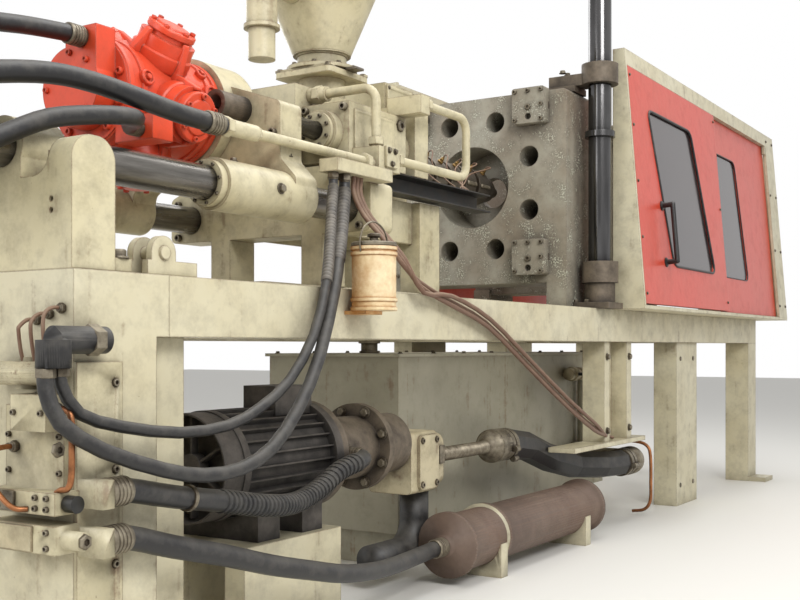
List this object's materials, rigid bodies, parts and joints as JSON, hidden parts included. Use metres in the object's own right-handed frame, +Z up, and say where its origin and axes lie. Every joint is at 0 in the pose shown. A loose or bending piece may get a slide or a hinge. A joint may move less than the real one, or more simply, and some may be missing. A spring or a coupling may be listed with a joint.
{
  "type": "injection moulding machine",
  "caption": "Horizontal screw injection moulding machine: injection unit on guide columns, platens on tie bars, sliding guard doors, hydraulic power unit in the base.",
  "frame": {"origin": "on the floor, at the centre of the four floor anchors", "axes": "+X along the machine from the injection end to the clamp end, +Z up, -Y the operator side"},
  "size_m": [6.95, 1.7713, 2.97],
  "materials": {
    "cream_paint": "old cream machine enamel, grimy and chipped",
    "grey_paint": "grey-cream machine enamel with oil stains",
    "red_paint": "semi-gloss red enamel on sheet steel",
    "orange_red_paint": "bright orange-red enamel on castings",
    "machined_steel": "turned steel, oily",
    "dark_chrome": "hard-chromed steel, oily",
    "cast_iron": "cast iron, grimy",
    "black_paint": "black enamel",
    "black_rubber": "black hose rubber, dusty",
    "smoked_window": "dark smoked polycarbonate",
    "rusty_yellow_paint": "yellow enamel, rusting",
    "brown_paint": "brown-grey enamel, dusty",
    "black_plastic": "moulded black plastic"
  },
  "bodies": {
    "base": {"rear_pedestal": "cream_paint", "side_beams": "cream_paint", "bed_frame": "cream_paint", "base_legs": "cream_paint", "rear_yoke": "cream_paint", "pedestal_fittings": "cream_paint", "stationary_platen": "grey_paint", "tie_bars": "dark_chrome", "tie_bar_nuts": "grey_paint", "cylinder_platen": "cream_paint", "clamp_cylinder": "cream_paint", "guard_frame": "cream_paint", "guard_fixed_panels": "red_paint", "guard_windows": "smoked_window", "post_collars": "cast_iron", "oil_tank": "grey_paint", "motor_frame": "cast_iron", "pump_and_bell": "cast_iron", "pump_block": "cream_paint", "pump_pipes": "cast_iron", "oil_cooler": "brown_paint", "grease_can": "rusty_yellow_paint", "conduit_upper": "black_rubber", "conduit_lower": "black_rubber", "outlet_hose": "black_rubber", "pedestal_hose_upper": "black_rubber", "pedestal_hose_lower": "black_rubber"},
    "carriage": {"guide_columns": "dark_chrome", "column_carrier": "cream_paint", "rear_bridge": "cast_iron", "injection_cylinders": "cream_paint", "feed_housing": "cream_paint", "barrel": "machined_steel", "heater_bands": "machined_steel", "barrel_support": "cream_paint", "wiring_tray": "black_paint", "injection_pipes": "cream_paint", "hopper": "cream_paint", "hopper_cone": "cream_paint", "hopper_throat": "cream_paint", "hopper_spout": "cream_paint", "motor_hose_upper": "black_rubber", "motor_hose_lower": "black_rubber", "cylinder_hose": "black_rubber"},
    "crosshead": {"crosshead": "cream_paint", "radial_motor": "orange_red_paint", "injection_rods": "dark_chrome"},
    "screw": {"screw": "machined_steel"},
    "moving_platen": {"moving_platen": "grey_paint", "clamp_ram": "dark_chrome"},
    "ejector": {"ejector_plate": "machined_steel"},
    "near_door": {"door_near": "red_paint", "door_near_window": "smoked_window", "door_near_handle": "black_plastic"},
    "far_door": {"door_far": "red_paint"},
    "jib_post": {"jib_post": "dark_chrome"},
    "pump_rotor": {"motor_fan": "black_plastic"},
    "flow_knob": {"valve_knob": "black_plastic"},
    "hopper_lid": {"hopper_lid": "grey_paint"},
    "hopper_gate": {"hopper_gate": "machined_steel"}
  },
  "joints": [
    {"name": "carriage_slide", "type": "slide", "parent": "base", "child": "carriage", "axis": [1, 0, 0], "range_m": [-0.3, 0]},
    {"name": "screw_stroke", "type": "slide", "parent": "carriage", "child": "crosshead", "axis": [1, 0, 0], "range_m": [0, 0.22]},
    {"name": "screw_turn", "type": "hinge", "parent": "crosshead", "child": "screw", "pos_m": [-2.04075, 0, 1.782], "axis": [1, 0, 0], "continuous": true},
    {"name": "clamp_stroke", "type": "slide", "parent": "base", "child": "moving_platen", "axis": [1, 0, 0], "range_m": [-0.45, 0.25]},
    {"name": "ejector_stroke", "type": "slide", "parent": "moving_platen", "child": "ejector", "axis": [-1, 0, 0], "range_m": [0, 0.12]},
    {"name": "near_door_slide", "type": "slide", "parent": "base", "child": "near_door", "axis": [1, 0, 0], "range_m": [0, 1.23]},
    {"name": "far_door_slide", "type": "slide", "parent": "base", "child": "far_door", "axis": [1, 0, 0], "range_m": [0, 1.23]},
    {"name": "jib_swing", "type": "hinge", "parent": "base", "child": "jib_post", "pos_m": [0.23225, -0.64, 1.6], "axis": [0, 0, 1], "range_deg": [-90, 90]},
    {"name": "pump_shaft_turn", "type": "hinge", "parent": "base", "child": "pump_rotor", "pos_m": [-2.39575, -0.37, 0.57], "axis": [1, 0, 0], "continuous": true},
    {"name": "flow_knob_turn", "type": "hinge", "parent": "base", "child": "flow_knob", "pos_m": [-3.20875, -0.697, 0.572], "axis": [0, -1, 0], "range_deg": [-135, 135]},
    {"name": "hopper_lid_hinge", "type": "hinge", "parent": "carriage", "child": "hopper_lid", "pos_m": [-1.25775, 0.33, 2.7629], "axis": [-1, 0, 0], "range_deg": [0, 100]},
    {"name": "hopper_gate_slide", "type": "slide", "parent": "carriage", "child": "hopper_gate", "axis": [0, -1, 0], "range_m": [0, 0.2]}
  ]
}
